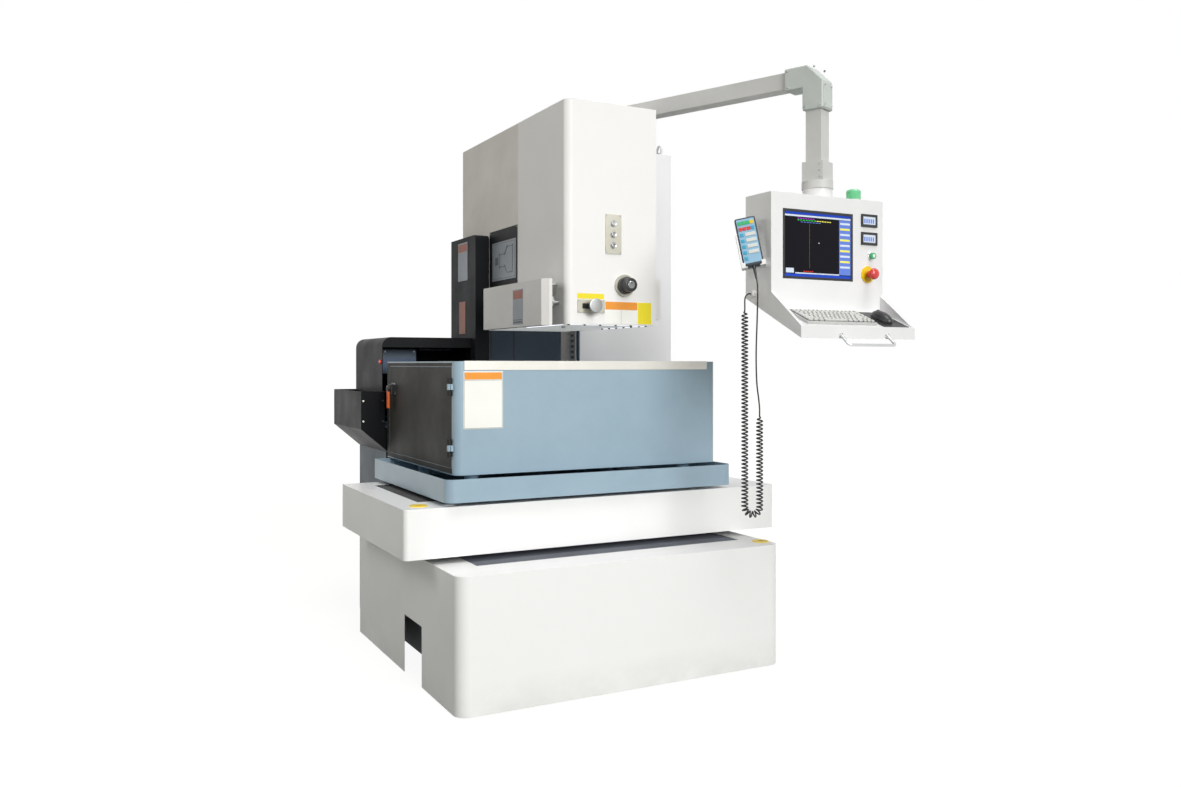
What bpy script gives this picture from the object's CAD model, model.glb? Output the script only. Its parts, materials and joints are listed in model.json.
"""Looks of a wire-cutting spark erosion machine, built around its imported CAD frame."""

import json
import logging
import math
from dataclasses import dataclass, field
from enum import Enum

import bmesh
import bpy
from mathutils import Matrix, Vector

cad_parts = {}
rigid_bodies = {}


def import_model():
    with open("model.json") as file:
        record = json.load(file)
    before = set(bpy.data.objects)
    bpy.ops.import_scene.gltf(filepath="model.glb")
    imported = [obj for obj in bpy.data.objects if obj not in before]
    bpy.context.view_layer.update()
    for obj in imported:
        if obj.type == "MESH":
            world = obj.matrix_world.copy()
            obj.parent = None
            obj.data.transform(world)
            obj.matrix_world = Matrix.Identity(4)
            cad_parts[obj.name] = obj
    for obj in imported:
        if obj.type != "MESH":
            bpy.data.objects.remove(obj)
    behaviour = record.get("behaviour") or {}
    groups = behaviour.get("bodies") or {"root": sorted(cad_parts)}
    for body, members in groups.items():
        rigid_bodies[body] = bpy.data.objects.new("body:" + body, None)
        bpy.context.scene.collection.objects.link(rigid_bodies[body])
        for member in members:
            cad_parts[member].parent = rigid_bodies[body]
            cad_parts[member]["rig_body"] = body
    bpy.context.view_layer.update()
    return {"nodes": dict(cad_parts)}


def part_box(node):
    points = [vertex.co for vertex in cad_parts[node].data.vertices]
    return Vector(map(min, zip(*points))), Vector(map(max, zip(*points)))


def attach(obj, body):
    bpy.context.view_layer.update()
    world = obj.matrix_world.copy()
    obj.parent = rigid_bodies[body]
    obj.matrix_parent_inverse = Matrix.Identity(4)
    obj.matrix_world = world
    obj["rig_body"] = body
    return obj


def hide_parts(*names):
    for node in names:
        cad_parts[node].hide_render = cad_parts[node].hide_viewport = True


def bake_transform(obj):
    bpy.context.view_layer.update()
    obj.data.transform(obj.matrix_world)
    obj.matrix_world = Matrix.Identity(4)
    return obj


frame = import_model()
LOG = logging.getLogger("scene")

Point = tuple[float, float, float]
ORIGIN = (714.5, 605.6)
TO_ROW = Matrix.Scale(0.001, 4) @ Matrix.Translation((-ORIGIN[0], -ORIGIN[1], 0.0))
SHARP = math.radians(32)
FLAT = math.radians(0.6)
FRONT = (0, -1, 0)
LEFT = (-1, 0, 0)
RIGHT = (1, 0, 0)
UP = (0, 0, 1)
SWAP_XY = Matrix(((0, 1, 0, 0), (1, 0, 0, 0), (0, 0, 1, 0), (0, 0, 0, 1)))
SWAP_YZ = Matrix(((1, 0, 0, 0), (0, 0, 1, 0), (0, 1, 0, 0), (0, 0, 0, 1)))
OUTLINE_TO_YZ = Matrix(((0, 0, 1, 0), (1, 0, 0, 0), (0, 1, 0, 0), (0, 0, 0, 1)))
DUST_COLOUR = "8f8b80"
DUST_HEIGHT = 0.12
COAT_ROUGHNESS = 0.12
BUMP_STRENGTH = 0.6


def linear(code: str) -> tuple[float, float, float, float]:
    """Turns a hexadecimal sRGB colour into linear light.

    Args:
        code: Six hexadecimal digits.

    Returns:
        Red, green, blue and an alpha of 1.
    """
    parts = [int(code[i : i + 2], 16) / 255 for i in (0, 2, 4)]
    return (*[c / 12.92 if c <= 0.04045 else ((c + 0.055) / 1.055) ** 2.4 for c in parts], 1.0)


class Grain(Enum):
    """Direction in which the finest marks of a surface run, as stretches of its noise."""

    EVEN = (1.0, 1.0, 1.0)
    ALONG_X = (0.03, 1.0, 1.0)
    ALONG_Y = (1.0, 0.03, 1.0)
    ALONG_Z = (1.0, 1.0, 0.03)


class NodeGroups:
    """Shader node groups that several finishes share, each built once."""

    _made: dict[str, bpy.types.NodeTree] = {}

    @classmethod
    def _start(
        cls, name: str, inputs: list[tuple[str, str]], outputs: list[tuple[str, str]],
    ) -> bpy.types.NodeTree:
        """Starts a group with named sockets.

        Args:
            name: Name of the group.
            inputs: Name and short socket type of each input.
            outputs: Name and short socket type of each output.

        Returns:
            The group, with its input and output nodes.
        """
        tree = bpy.data.node_groups.new(name, "ShaderNodeTree")
        for in_out, sockets in (("INPUT", inputs), ("OUTPUT", outputs)):
            for label, kind in sockets:
                tree.interface.new_socket(name=label, in_out=in_out, socket_type=f"NodeSocket{kind}")
        tree.nodes.new("NodeGroupInput").name = "In"
        tree.nodes.new("NodeGroupOutput").name = "Out"
        cls._made[name] = tree
        return tree

    @classmethod
    def field(cls) -> bpy.types.NodeTree:
        """Gives the group that makes broad patches and fine grain from a place on the piece."""
        if "surface_field" in cls._made:
            return cls._made["surface_field"]
        tree = cls._start(
            "surface_field",
            [("Vector", "Vector"), ("Patch Scale", "Float"), ("Grain Scale", "Float"), ("Stretch", "Vector")],
            [("Patch", "Float"), ("Grain", "Float")],
        )
        nodes, link = tree.nodes, tree.links.new
        start, end = nodes["In"], nodes["Out"]
        patch = nodes.new("ShaderNodeTexNoise")
        patch.inputs["Detail"].default_value = 5.0
        patch.inputs["Roughness"].default_value = 0.62
        spread = nodes.new("ShaderNodeMapRange")
        spread.inputs["From Min"].default_value = 0.32
        spread.inputs["From Max"].default_value = 0.68
        stretch = nodes.new("ShaderNodeVectorMath")
        stretch.operation = "MULTIPLY"
        grain = nodes.new("ShaderNodeTexNoise")
        grain.inputs["Detail"].default_value = 2.0
        link(start.outputs["Vector"], patch.inputs["Vector"])
        link(start.outputs["Patch Scale"], patch.inputs["Scale"])
        link(patch.outputs["Fac"], spread.inputs["Value"])
        link(start.outputs["Vector"], stretch.inputs[0])
        link(start.outputs["Stretch"], stretch.inputs[1])
        link(stretch.outputs[0], grain.inputs["Vector"])
        link(start.outputs["Grain Scale"], grain.inputs["Scale"])
        link(spread.outputs["Result"], end.inputs["Patch"])
        link(grain.outputs["Fac"], end.inputs["Grain"])
        return tree

    @classmethod
    def coat(cls) -> bpy.types.NodeTree:
        """Gives the group that mixes a paint's two tones and its roughness from patches and grain."""
        if "surface_coat" in cls._made:
            return cls._made["surface_coat"]
        tree = cls._start(
            "surface_coat",
            [
                ("Colour", "Color"), ("Shade", "Color"), ("Patch", "Float"), ("Grain", "Float"),
                ("Amount", "Float"), ("Smooth", "Float"), ("Rough", "Float"),
            ],
            [("Colour", "Color"), ("Roughness", "Float")],
        )
        nodes, link = tree.nodes, tree.links.new
        start, end = nodes["In"], nodes["Out"]
        both = nodes.new("ShaderNodeMath")
        both.operation = "MULTIPLY_ADD"
        both.inputs[1].default_value = 0.35
        amount = nodes.new("ShaderNodeMath")
        amount.operation = "MULTIPLY"
        amount.use_clamp = True
        tone = nodes.new("ShaderNodeMix")
        tone.data_type = "RGBA"
        rough = nodes.new("ShaderNodeMix")
        rough.data_type = "FLOAT"
        link(start.outputs["Grain"], both.inputs[0])
        link(start.outputs["Patch"], both.inputs[2])
        link(both.outputs[0], amount.inputs[0])
        link(start.outputs["Amount"], amount.inputs[1])
        link(amount.outputs[0], tone.inputs[0])
        link(start.outputs["Colour"], tone.inputs[6])
        link(start.outputs["Shade"], tone.inputs[7])
        link(start.outputs["Patch"], rough.inputs[0])
        link(start.outputs["Smooth"], rough.inputs[2])
        link(start.outputs["Rough"], rough.inputs[3])
        link(tone.outputs[2], end.inputs["Colour"])
        link(rough.outputs[0], end.inputs["Roughness"])
        return tree

    @classmethod
    def dust(cls) -> bpy.types.NodeTree:
        """Gives the group that greys a surface in the band just above the floor."""
        if "floor_dust" in cls._made:
            return cls._made["floor_dust"]
        tree = cls._start(
            "floor_dust",
            [
                ("Colour", "Color"), ("Dust", "Color"), ("Vector", "Vector"), ("Height", "Float"),
                ("Patch", "Float"),
            ],
            [("Colour", "Color")],
        )
        nodes, link = tree.nodes, tree.links.new
        start, end = nodes["In"], nodes["Out"]
        parts = nodes.new("ShaderNodeSeparateXYZ")
        fade = nodes.new("ShaderNodeMapRange")
        fade.inputs["To Min"].default_value = 0.22
        fade.inputs["To Max"].default_value = 0.0
        spotty = nodes.new("ShaderNodeMath")
        spotty.operation = "MULTIPLY"
        tone = nodes.new("ShaderNodeMix")
        tone.data_type = "RGBA"
        link(start.outputs["Vector"], parts.inputs[0])
        link(parts.outputs["Z"], fade.inputs["Value"])
        link(start.outputs["Height"], fade.inputs["From Max"])
        link(fade.outputs["Result"], spotty.inputs[0])
        link(start.outputs["Patch"], spotty.inputs[1])
        link(spotty.outputs[0], tone.inputs[0])
        link(start.outputs["Colour"], tone.inputs[6])
        link(start.outputs["Dust"], tone.inputs[7])
        link(tone.outputs[2], end.inputs["Colour"])
        return tree


@dataclass(frozen=True)
class Finish:
    """Finish of one kind of surface, made as a procedural material on Object coordinates."""

    name: str
    colour: str
    shade: str
    smooth: float = 0.38
    rough: float = 0.5
    metallic: float = 0.0
    coat: float = 0.0
    patch: float = 5.0
    amount: float = 0.5
    grain: float = 700.0
    relief: float = 0.00004
    run: Grain = Grain.EVEN
    dusty: bool = False
    glow: float = 0.0
    clear: float = 0.0
    specular: float = 0.5

    def material(self) -> bpy.types.Material:
        """Builds the material, or gives the one built before."""
        known = bpy.data.materials.get(f"finish_{self.name}")
        if known:
            return known
        made = bpy.data.materials.new(f"finish_{self.name}")
        made.use_nodes = True
        nodes, link = made.node_tree.nodes, made.node_tree.links.new
        shader = nodes["Principled BSDF"]
        place = nodes.new("ShaderNodeTexCoord")
        area = nodes.new("ShaderNodeGroup")
        area.node_tree = NodeGroups.field()
        area.inputs["Patch Scale"].default_value = self.patch
        area.inputs["Grain Scale"].default_value = self.grain
        area.inputs["Stretch"].default_value = self.run.value
        link(place.outputs["Object"], area.inputs["Vector"])
        coat = nodes.new("ShaderNodeGroup")
        coat.node_tree = NodeGroups.coat()
        coat.inputs["Colour"].default_value = linear(self.colour)
        coat.inputs["Shade"].default_value = linear(self.shade)
        coat.inputs["Amount"].default_value = self.amount
        coat.inputs["Smooth"].default_value = self.smooth
        coat.inputs["Rough"].default_value = self.rough
        link(area.outputs["Patch"], coat.inputs["Patch"])
        link(area.outputs["Grain"], coat.inputs["Grain"])
        tone = coat.outputs["Colour"]
        if self.dusty:
            dust = nodes.new("ShaderNodeGroup")
            dust.node_tree = NodeGroups.dust()
            dust.inputs["Dust"].default_value = linear(DUST_COLOUR)
            dust.inputs["Height"].default_value = DUST_HEIGHT
            link(tone, dust.inputs["Colour"])
            link(place.outputs["Object"], dust.inputs["Vector"])
            link(area.outputs["Patch"], dust.inputs["Patch"])
            tone = dust.outputs["Colour"]
        link(tone, shader.inputs["Base Color"])
        link(coat.outputs["Roughness"], shader.inputs["Roughness"])
        shader.inputs["Metallic"].default_value = self.metallic
        shader.inputs["Coat Weight"].default_value = self.coat
        shader.inputs["Coat Roughness"].default_value = COAT_ROUGHNESS
        shader.inputs["Transmission Weight"].default_value = self.clear
        shader.inputs["Specular IOR Level"].default_value = self.specular
        if self.glow:
            link(tone, shader.inputs["Emission Color"])
            shader.inputs["Emission Strength"].default_value = self.glow
        bump = nodes.new("ShaderNodeBump")
        bump.inputs["Strength"].default_value = BUMP_STRENGTH
        bump.inputs["Distance"].default_value = self.relief
        link(area.outputs["Grain"], bump.inputs["Height"])
        link(bump.outputs["Normal"], shader.inputs["Normal"])
        return made


WHITE_PAINT = Finish("white_paint", "f2f2f1", "ebebe9", 0.3, 0.4, coat=0.15, amount=0.25, dusty=True)
CABINET_WHITE = Finish("cabinet_white", "f0f0f1", "e7e7e8", 0.36, 0.46, amount=0.25, dusty=True)
HEAD_SMOOTH = Finish("head_smooth", "efeeec", "e7e5e2", 0.42, 0.5, amount=0.25, grain=620.0, relief=0.00006)
TEXTURED_WHITE = Finish(
    "textured_white", "e4e1db", "d2cdc5", 0.4, 0.56, amount=0.5, grain=330.0, relief=0.0003,
)
ARM_COVER_WHITE = Finish("arm_cover_white", "e4e2df", "d3d0cb", 0.4, 0.5, amount=0.45, relief=0.00008)
LAMP_WHITE = Finish("lamp_white", "f7f7f4", "eeeeea", 0.45, 0.55, amount=0.3, glow=0.35)
SLATE_PAINT = Finish(
    "slate_paint", "4f5c6a", "434f5c", 0.38, 0.5, amount=0.7, relief=0.00007, dusty=True, specular=0.25,
)
BLACK_PAINT = Finish("black_paint", "121416", "0b0c0d", 0.38, 0.52, amount=0.7, relief=0.00007, specular=0.1)
TOWER_BLACK = Finish(
    "tower_black", "181b1e", "111315", 0.42, 0.56, amount=0.7, grain=900.0, relief=0.0001, specular=0.1,
)
BLUE_PAINT = Finish("blue_paint", "9ab1bf", "89a1b0", 0.28, 0.4, coat=0.2, amount=0.5)
CHARCOAL = Finish("charcoal_paint", "33322f", "292825", 0.45, 0.58, amount=0.6, relief=0.00008, specular=0.1)
ORANGE = Finish("orange_plastic", "e0671c", "c85512", 0.3, 0.42, coat=0.2, amount=0.5)
MOTOR_BLUE = Finish("motor_blue", "41627f", "33506a", 0.35, 0.5, amount=0.6)
STEEL = Finish("steel", "b0b1b0", "85888a", 0.3, 0.44, 1.0, amount=0.6, grain=420.0, run=Grain.ALONG_Y)
PLATE_STEEL = Finish(
    "plate_steel", "bcbaae", "a3a194", 0.34, 0.46, 0.85, amount=0.6, grain=900.0, run=Grain.ALONG_Z,
)
STRIP_STEEL = Finish(
    "stainless", "e4e2dc", "cbc8be", 0.3, 0.42, 0.4, amount=0.6, grain=600.0, run=Grain.ALONG_X,
)
CHROME = Finish("chrome", "dcdddd", "b5b7b8", 0.08, 0.16, 1.0, amount=0.5)
DARK_STEEL = Finish("dark_steel", "4a4d4f", "37393a", 0.35, 0.5, 0.9, amount=0.7)
CAST_IRON = Finish("cast_iron", "5f686d", "4c5459", 0.5, 0.68, 0.2, amount=0.7, grain=300.0, relief=0.0003)
BRASS = Finish("brass_wire", "c79a45", "a87c30", 0.2, 0.32, 1.0, amount=0.5, grain=2600.0, run=Grain.ALONG_Z)
ELECTRICS = Finish("electrics", "7e8f86", "66766e", 0.4, 0.55, amount=0.6)
ARM_GREY = Finish("arm_grey", "d4d4d2", "c4c4c1", 0.36, 0.5, amount=0.5, relief=0.00006)
ELBOW_GREY = Finish("elbow_grey", "d2d8d3", "bec5c0", 0.42, 0.56, amount=0.6, grain=360.0, relief=0.0002)
GREY_BELLOWS = Finish("grey_bellows", "565a62", "44474e", 0.5, 0.66, amount=0.7, grain=1500.0, relief=0.00006)
BLACK_BELLOWS = Finish(
    "black_bellows", "1b1c1e", "111213", 0.45, 0.62, amount=0.7, grain=1500.0, relief=0.00006,
)
PENDANT_WHITE = Finish("pendant_white", "efefef", "e1e1e0", 0.32, 0.44, coat=0.1, amount=0.4)
BLACK_PLASTIC = Finish("black_plastic", "17181b", "0e0f11", 0.3, 0.42, coat=0.1, amount=0.6, relief=0.00005)
GREY_PLASTIC = Finish("grey_plastic", "cfd0cd", "bfc0bc", 0.4, 0.52, amount=0.5, relief=0.00004)
KEY_GAP = Finish("key_gap", "3c3e44", "303237", 0.45, 0.55, amount=0.5)
KEY_GREY = Finish("key_grey", "dcddd8", "cccdc7", 0.42, 0.54, amount=0.5)
DARK_GREY = Finish("dark_grey", "55585c", "45484b", 0.42, 0.54, amount=0.6)
YELLOW = Finish("yellow_plastic", "f0cf1c", "dcb90f", 0.32, 0.44, coat=0.15, amount=0.4)
RED = Finish("red_plastic", "df3530", "c92822", 0.2, 0.32, coat=0.4, amount=0.5)
GREEN = Finish("green_plastic", "2fae6d", "22955a", 0.25, 0.36, coat=0.3, amount=0.5, glow=0.15)
LENS_GREEN = Finish("green_lens", "8fe0b0", "62cf90", 0.12, 0.22, coat=0.4, amount=0.6, clear=0.35, glow=0.12)
CYAN = Finish("cyan_plastic", "3fa7c8", "2f92b3", 0.3, 0.42, amount=0.5)
HANDSET_BLUE = Finish("handset_blue", "2c333b", "22282f", 0.42, 0.56, amount=0.6, grain=900.0, relief=0.00008)
KEYPAD_BLUE = Finish("keypad_blue", "93bcd6", "86b0ca", 0.4, 0.52, amount=0.5)
CORD_BLACK = Finish("cord_black", "141416", "0c0c0d", 0.36, 0.5, amount=0.6, grain=1400.0, relief=0.00004)
SCREEN_BLACK = Finish("screen_black", "0b0a12", "07060c", 0.2, 0.3, amount=0.5, glow=0.2, specular=0.12)
SCREEN_BLUE = Finish("screen_blue", "2346b4", "1c3ba2", 0.12, 0.2, amount=0.5, glow=0.4, specular=0.12)
SCREEN_LILAC = Finish("screen_lilac", "5f7ac8", "566fba", 0.12, 0.2, amount=0.4, glow=0.35, specular=0.12)
SCREEN_PALE = Finish("screen_pale", "cfd8e4", "c2ccdb", 0.12, 0.2, amount=0.4, glow=0.2, specular=0.12)
SCREEN_OCHRE = Finish("screen_ochre", "8f7d1f", "7f6f18", 0.2, 0.3, amount=0.4, glow=0.15, specular=0.12)
SCREEN_VIOLET = Finish("screen_violet", "a03cc0", "9034ae", 0.2, 0.3, amount=0.4, glow=0.4, specular=0.12)
SCREEN_GREEN = Finish("screen_green", "2fbf4a", "27ac40", 0.2, 0.3, amount=0.4, glow=0.4, specular=0.12)
SCREEN_RED = Finish("screen_red", "d8362c", "c52d24", 0.2, 0.3, amount=0.4, glow=0.4, specular=0.12)
SCREEN_YELLOW = Finish("screen_yellow", "d9d25a", "ccc44b", 0.12, 0.2, amount=0.4, glow=0.5, specular=0.12)
CARD_WHITE = Finish("card_white", "f4f4ee", "e9e9e1", 0.5, 0.62, amount=0.4)
PLATE_GREY = Finish("plate_grey", "8d939a", "7b8188", 0.35, 0.48, 0.2, amount=0.5)
PLATE_NAVY = Finish("plate_navy", "2f4257", "26374a", 0.35, 0.48, 0.3, amount=0.5)
PLATE_RUST = Finish("plate_rust", "9c5a44", "874a37", 0.4, 0.52, amount=0.5)
CARD_ORANGE = Finish("card_orange", "f09a2e", "e08a20", 0.45, 0.56, amount=0.4)
CARD_YELLOW = Finish("card_yellow", "f2e022", "e0cd15", 0.45, 0.56, amount=0.4)
LAMP_GLOW = Finish("lamp_glow", "f4f6ff", "eaeefc", 0.4, 0.5, amount=0.3, glow=1.6)
DUCT_GREY = Finish("duct_grey", "c9ccce", "b6babd", 0.4, 0.52, amount=0.5)


def bevel(shape: bmesh.types.BMesh, edges: list[bmesh.types.BMEdge], width: float, steps: int = 2) -> None:
    """Rounds edges of a shape.

    Args:
        shape: The shape.
        edges: Its edges to round.
        width: Width of the rounding, in the shape's own unit.
        steps: Steps across it.
    """
    bmesh.ops.bevel(
        shape, geom=edges, offset=width, offset_type="OFFSET", segments=steps, profile=0.5,
        affect="EDGES", clamp_overlap=True, material=-1,
    )


def placed(name: str, shape: bmesh.types.BMesh) -> bpy.types.Object:
    """Turns a shape into an object of the scene and frees it.

    Args:
        name: Name of the object and of its mesh.
        shape: The shape, in metres.

    Returns:
        The object.
    """
    mesh = bpy.data.meshes.new(name)
    shape.to_mesh(mesh)
    shape.free()
    made = bpy.data.objects.new(name, mesh)
    bpy.context.scene.collection.objects.link(made)
    return made


def soften(mesh: bpy.types.Mesh) -> None:
    """Shades a mesh smoothly, save over its sharp edges.

    Args:
        mesh: The mesh to shade.
    """
    mesh.polygons.foreach_set("use_smooth", [True] * len(mesh.polygons))
    mesh.set_sharp_from_angle(angle=SHARP)
    mesh.update()


def level_normals(thing: bpy.types.Object) -> None:
    """Keeps flat faces evenly lit up to their softened edges.

    Args:
        thing: The object to finish.
    """
    even = thing.modifiers.new("even", "WEIGHTED_NORMAL")
    even.keep_sharp = True
    even.weight = 100


class Piece:
    """Collects bmesh shapes, in millimetres, and turns them into one finished object."""

    def __init__(self, name: str, at: Matrix | None = None) -> None:
        """Starts an empty piece.

        Args:
            name: Name of the object.
            at: Place of the shapes' own frame in the base's frame, in millimetres.
        """
        self.name = name
        self.at = at or Matrix.Identity(4)
        self.mesh = bmesh.new()
        self.finishes: list[Finish] = []

    def take(self, shape: bmesh.types.BMesh, finish: Finish) -> None:
        """Adds a finished shape to the piece and frees it.

        Args:
            shape: The shape, in the piece's own frame.
            finish: Finish of all its faces.
        """
        if finish not in self.finishes:
            self.finishes.append(finish)
        number = self.finishes.index(finish)
        for face in shape.faces:
            face.material_index = number
        bmesh.ops.transform(shape, matrix=TO_ROW @ self.at, verts=shape.verts)
        scratch = bpy.data.meshes.new("scratch")
        shape.to_mesh(scratch)
        shape.free()
        self.mesh.from_mesh(scratch)
        bpy.data.meshes.remove(scratch)

    def box(self, low: Point, size: Point, finish: Finish, edge: float = 0.8, steps: int = 2) -> None:
        """Adds a box with softened edges.

        Args:
            low: Its lowest corner.
            size: Its three sides.
            finish: Its finish.
            edge: Width of the softened edge.
            steps: Steps across that edge.
        """
        shape = bmesh.new()
        middle = [a + s / 2 for a, s in zip(low, size)]
        bmesh.ops.create_cube(
            shape, size=1.0, matrix=Matrix.Translation(middle) @ Matrix.Diagonal((*size, 1.0))
        )
        edge = min(edge, min(size) * 0.45)
        if edge > 0:
            bevel(shape, list(shape.edges), edge, steps)
        self.take(shape, finish)

    def turned(
        self, profile: list[tuple[float, float]], foot: Point, way: Point, finish: Finish, steps: int = 40,
    ) -> None:
        """Adds a turned shape.

        Args:
            profile: Radius and height of each corner, from one end of the axis to the other.
            foot: Point of the axis at height 0.
            way: Direction of the axis.
            finish: Its finish.
            steps: Sides of the full turn.
        """
        shape = bmesh.new()
        corners = [shape.verts.new((r, 0.0, h)) for r, h in profile]
        for a, b in zip(corners, corners[1:]):
            shape.edges.new((a, b))
        bmesh.ops.spin(
            shape, geom=list(shape.verts) + list(shape.edges), cent=(0, 0, 0), axis=(0, 0, 1),
            angle=2 * math.pi, steps=steps, use_merge=True, dvec=(0, 0, 0),
        )
        bmesh.ops.remove_doubles(shape, verts=shape.verts, dist=1e-4)
        bmesh.ops.recalc_face_normals(shape, faces=shape.faces)
        turn = Vector(way).to_track_quat("Z", "Y").to_matrix().to_4x4()
        bmesh.ops.transform(shape, matrix=Matrix.Translation(foot) @ turn, verts=shape.verts)
        self.take(shape, finish)

    def prism(
        self, outline: list[tuple[float, float]], frame_of: Matrix, depth: float, finish: Finish,
        edge: float = 0.0,
    ) -> None:
        """Adds an outline pushed out along its own Z axis.

        Args:
            outline: Corners of the outline in its own X and Y.
            frame_of: Place of the outline's frame in the piece's frame.
            depth: How far it is pushed out.
            finish: Its finish.
            edge: Width of the softened edges.
        """
        shape = bmesh.new()
        face = shape.faces.new([shape.verts.new((x, y, 0.0)) for x, y in outline])
        pushed = bmesh.ops.extrude_face_region(shape, geom=[face])
        moved = [v for v in pushed["geom"] if isinstance(v, bmesh.types.BMVert)]
        bmesh.ops.translate(shape, vec=(0, 0, depth), verts=moved)
        bmesh.ops.recalc_face_normals(shape, faces=shape.faces)
        if edge > 0:
            sharp = [e for e in shape.edges if e.calc_face_angle(0.0) > SHARP]
            bevel(shape, sharp, edge)
        bmesh.ops.transform(shape, matrix=frame_of, verts=shape.verts)
        self.take(shape, finish)

    def pipe(self, points: list[Point], radius: float, finish: Finish, sides: int = 20) -> None:
        """Adds a round bar through points, with closed ends.

        Args:
            points: Points of its middle line.
            radius: Its radius.
            finish: Its finish.
            sides: Sides round it.
        """
        shape = bmesh.new()
        path = [Vector(p) for p in points]
        ways = [
            (path[min(i + 1, len(path) - 1)] - path[max(i - 1, 0)]).normalized() for i in range(len(path))
        ]
        turn = ways[0].to_track_quat("Z", "Y").to_matrix().to_4x4()
        ring = bmesh.ops.create_circle(
            shape, cap_ends=False, radius=radius, segments=sides, matrix=Matrix.Translation(path[0]) @ turn
        )["verts"]
        first = list(ring)
        edges = list(shape.edges)
        for i in range(1, len(path)):
            made = bmesh.ops.extrude_edge_only(shape, edges=edges)["geom"]
            ring = [v for v in made if isinstance(v, bmesh.types.BMVert)]
            edges = [e for e in made if isinstance(e, bmesh.types.BMEdge)]
            swing = ways[i - 1].rotation_difference(ways[i]).to_matrix().to_4x4()
            step = Matrix.Translation(path[i]) @ swing @ Matrix.Translation(-path[i - 1])
            bmesh.ops.transform(shape, matrix=step, verts=ring)
        for end in (first, ring):
            bmesh.ops.contextual_create(shape, geom=end)
        bmesh.ops.recalc_face_normals(shape, faces=shape.faces)
        self.take(shape, finish)

    def screw(self, foot: Point, way: Point, radius: float, finish: Finish = STEEL) -> None:
        """Adds a socket screw's low round head.

        Args:
            foot: Middle of the head's underside.
            way: Direction that the head faces.
            radius: Radius of the head.
            finish: Its finish.
        """
        r = radius
        self.turned(
            [
                (0, 0.1 * r), (0.42 * r, 0.1 * r), (0.46 * r, 0.5 * r), (0.75 * r, 0.55 * r),
                (0.95 * r, 0.35 * r), (r, 0),
            ],
            foot, way, finish, 20,
        )

    def done(self, body: str, replaces: tuple[str, ...] = (), slot: str = "") -> bpy.types.Object:
        """Makes the object and hangs it on its body.

        Args:
            body: CAD body that it moves with.
            replaces: CAD nodes that it stands for.
            slot: Material slot of the record that it takes its finish from.

        Returns:
            The finished object.
        """
        made = placed(self.name, self.mesh)
        for finish in self.finishes:
            made.data.materials.append(finish.material())
        soften(made.data)
        level_normals(made)
        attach(made, body)
        if replaces:
            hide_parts(*replaces)
        LOG.info("%s: %d faces on %s", self.name, len(made.data.polygons), body)
        return made


@dataclass
class SheetCovers:
    """Sheet metal and cast pieces that keep the CAD shape and get folded or rounded edges."""

    finishes: dict[str, tuple[Finish, float, str]] = field(
        default_factory=lambda: {
            "base_cover": (WHITE_PAINT, 0.8, "white_paint"),
            "saddle_cover": (WHITE_PAINT, 0.8, "white_paint"),
            "drip_pan": (BLUE_PAINT, 1.2, "blue_paint"),
            "work_tank": (BLUE_PAINT, 1.4, "blue_paint"),
            "column_cover": (SLATE_PAINT, 0.8, "slate_paint"),
            "head_front_cover": (HEAD_SMOOTH, 0.8, "textured_white"),
            "head_rear_cover": (TEXTURED_WHITE, 0.8, "textured_white"),
            "wire_tower": (TOWER_BLACK, 1.2, "black_paint"),
            "drum_pedestal": (SLATE_PAINT, 1.2, "slate_paint"),
            "drum_hood": (BLACK_PAINT, 1.2, "black_paint"),
            "wire_hopper": (BLACK_PAINT, 1.2, "black_paint"),
            "cabinet_door": (CABINET_WHITE, 1.0, "cabinet_white"),
            "left_arm_cover": (ARM_COVER_WHITE, 0.8, "white_paint"),
            "arm_beam": (ARM_GREY, 4.0, "arm_grey"),
            "arm_elbow": (ELBOW_GREY, 6.0, "arm_grey"),
            "drop_tube": (ARM_GREY, 3.0, "arm_grey"),
            "pendant_case": (PENDANT_WHITE, 1.2, "pendant_white"),
            "handset_holder": (PENDANT_WHITE, 0.8, "pendant_white"),
            "work_frame": (STEEL, 1.5, "steel"),
            "z_slide": (STEEL, 1.0, "steel"),
            "lower_arm": (CAST_IRON, 1.5, "cast_iron"),
        }
    )

    def build(self) -> None:
        """Builds a softened copy of each of the nodes."""
        for node, (finish, edge, slot) in self.finishes.items():
            self.copy(node, finish, edge, slot)

    def copy(self, node: str, finish: Finish, edge: float, slot: str) -> bpy.types.Object:
        """Copies a node's mesh, softens its sharp edges and puts the copy in its place.

        Args:
            node: CAD node to copy.
            finish: Finish of the copy.
            edge: Width of the softened edges in millimetres.
            slot: Material slot of the record.

        Returns:
            The object that stands for the node.
        """
        shape = bmesh.new()
        shape.from_mesh(frame["nodes"][node].data)
        bmesh.ops.remove_doubles(shape, verts=shape.verts, dist=1e-5)
        bmesh.ops.dissolve_limit(
            shape, angle_limit=FLAT, verts=shape.verts, edges=shape.edges, use_dissolve_boundaries=False
        )
        for face in shape.faces:
            face.material_index = 0
        sharp = [e for e in shape.edges if len(e.link_faces) == 2 and e.calc_face_angle(0.0) > SHARP]
        bevel(shape, sharp, edge / 1000)
        made = placed(f"{node}_dressed", shape)
        made.data.materials.append(finish.material())
        soften(made.data)
        level_normals(made)
        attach(made, frame["nodes"][node]["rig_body"])
        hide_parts(node)
        LOG.info("%s: %d faces", made.name, len(made.data.polygons))
        return made


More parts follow.
